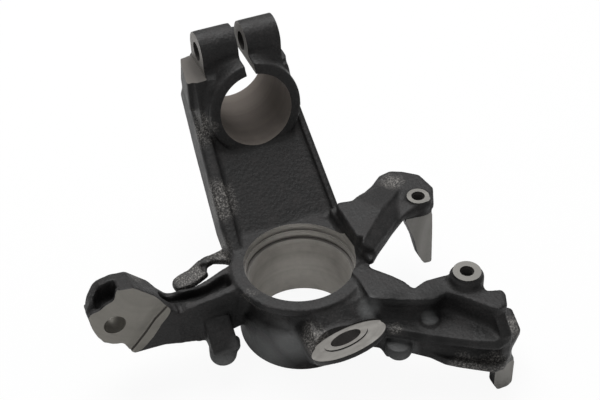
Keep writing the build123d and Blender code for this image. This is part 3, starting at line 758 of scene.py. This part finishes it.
# Ball joint: the ring round the hole, the lower oval face round it, and the stud's hole.
OVAL_OVERRUN = 1.4 * MM
cut(turned(drill(ball_ring_radius + 1 * MM, ball_top, 0.02), ball, ball_axis, 96), ball_faced)
ball_face = ball_axis * (ball_top - ball_ring_rise)
oval_cutter = oval_ring(ball_half_length + OVAL_OVERRUN, ball_half_width + OVAL_OVERRUN,
                        oval_centre + ball_face, ball_ring_radius, ball + ball_face, ball_along,
                        ball_axis, 12 * MM)
cut(oval_cutter, ball_faced, skin_material, ball_axis)
cut(turned(drill(ball_radius, -0.05, 0.02), ball, ball_axis, 96), drilled)

# Pad fingers: the flat guide faces.
cut(block((0.070, finger_face - OVERRUN, -0.02), (0.110, finger_face, 0.035)), pad_faced)
cut(block((0.084, tab_face - OVERRUN, -0.035), (0.110, tab_face, -0.003)), pad_faced)

# Caliper bosses: ring faces and tapped holes.
PITCH = 1.25 * MM
THREAD_TURNS = 16
THREAD_DEPTH = 0.8 * MM
HOLE_END = -22 * MM
MOUTH_BEVEL = 0.35 * MM
for name, ring_radius in ring_sizes.items():
    boss = mount_point(name)
    boss.z = boss_top
    cut(turned(drill(ring_radius + 1.2 * MM, 0, 8 * MM), boss, UP, 64), ring_faced)
    radius = mount_radius(name)
    thread = [(0, HOLE_END)]
    for turn in range(THREAD_TURNS):
        level = HOLE_END + turn * PITCH
        thread += [(radius - THREAD_DEPTH, level), (radius, level + PITCH / 2)]
    thread += [(radius - THREAD_DEPTH, -2 * MM), (radius + 0.1 * MM, -MOUTH_BEVEL),
               (radius + 0.1 * MM, 5 * MM), (0, 5 * MM)]
    cut(turned(thread, boss, UP, 48), drilled)

# Edges sharper than this stay crisp, and everything else is shaded smooth.
CREASE = math.radians(32)
body = casting.data
body.name = "knuckle_casting"
edges = bmesh.new()
edges.from_mesh(body)
for edge in edges.edges:
    edge.smooth = not (len(edge.link_faces) == 2 and edge.calc_face_angle(0) > CREASE)
for face in edges.faces:
    face.smooth = True
edges.to_mesh(body)
edges.free()
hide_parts("steering_knuckle")
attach(casting, "root")


# ---------------------------------------------------------------------------
# Studio: a plain white floor, a big soft lamp overhead and a weak fill, with
# the camera above and in front of the ball joint.
# ---------------------------------------------------------------------------

# White paper that is lit from behind for the camera, so that it stays white and still takes a shadow.
FLOOR_HALF = 4
GLOW_SHARE = 0.93
floor_z = cad_box[0][2] - 0.0005
floor_corners = [(x * FLOOR_HALF, y * FLOOR_HALF, floor_z)
                 for x, y in ((-1, -1), (1, -1), (1, 1), (-1, 1))]
floor_mesh = bpy.data.meshes.new("studio_floor")
floor_mesh.from_pydata(floor_corners, [], [(0, 1, 2, 3)])
floor = bpy.data.objects.new("studio_floor", floor_mesh)
bpy.context.scene.collection.objects.link(floor)
floor_material = new_material("white_paper_floor")
paper = add(floor_material, "ShaderNodeBsdfDiffuse", {"Color": linear("#f4f4f4")})
glow = add(floor_material, "ShaderNodeEmission", {"Color": grey(1.0), "Strength": 1.0})
seen = add(floor_material, "ShaderNodeLightPath").outputs["Is Camera Ray"]
share = add(floor_material, "ShaderNodeMath", {0: seen, 1: GLOW_SHARE}, operation="MULTIPLY").outputs[0]
mixed_floor = add(floor_material, "ShaderNodeMixShader",
                  {0: share, 1: paper.outputs[0], 2: glow.outputs[0]})
add(floor_material, "ShaderNodeOutputMaterial", {"Surface": mixed_floor.outputs[0]})
floor_mesh.materials.append(floor_material)

world = bpy.data.worlds.new("studio")
bpy.context.scene.world = world
world.use_nodes = True
world.node_tree.nodes["Background"].inputs["Color"].default_value = (1, 1, 1, 1)
world.node_tree.nodes["Background"].inputs["Strength"].default_value = 0.3


def soft_lamp(name, place, size, power):
    """A square soft lamp that faces the hub."""
    lamp = bpy.data.lights.new(name, "AREA")
    lamp.shape = "SQUARE"
    lamp.size = size
    lamp.energy = power
    holder = bpy.data.objects.new(name, lamp)
    holder.location = place
    holder.rotation_euler = (-Vector(place)).to_track_quat("-Z", "Y").to_euler()
    bpy.context.scene.collection.objects.link(holder)


soft_lamp("overhead_softbox", (0.1, 0.55, 1.25), 1.1, 18)
soft_lamp("front_fill", (-0.5, -1.2, 0.9), 0.9, 1)

camera_data = bpy.data.cameras.new("camera")
camera_data.sensor_fit = "HORIZONTAL"
focal_pixels = 1200
image_width = 600
camera_data.angle = 2 * math.atan(image_width / 2 / focal_pixels)
camera_data.clip_start = 0.01
camera = bpy.data.objects.new("camera", camera_data)
right = Vector((0.9257, -0.3767, -0.0340))
up = Vector((0.2698, 0.5948, 0.7573))
back = right.cross(up)
turn = Matrix((right, up, back)).transposed().to_4x4()
camera.matrix_world = Matrix.Translation((-0.1929, -0.5225, 0.5656)) @ turn
bpy.context.scene.collection.objects.link(camera)
bpy.context.scene.camera = camera
bpy.context.scene.view_settings.view_transform = "Standard"
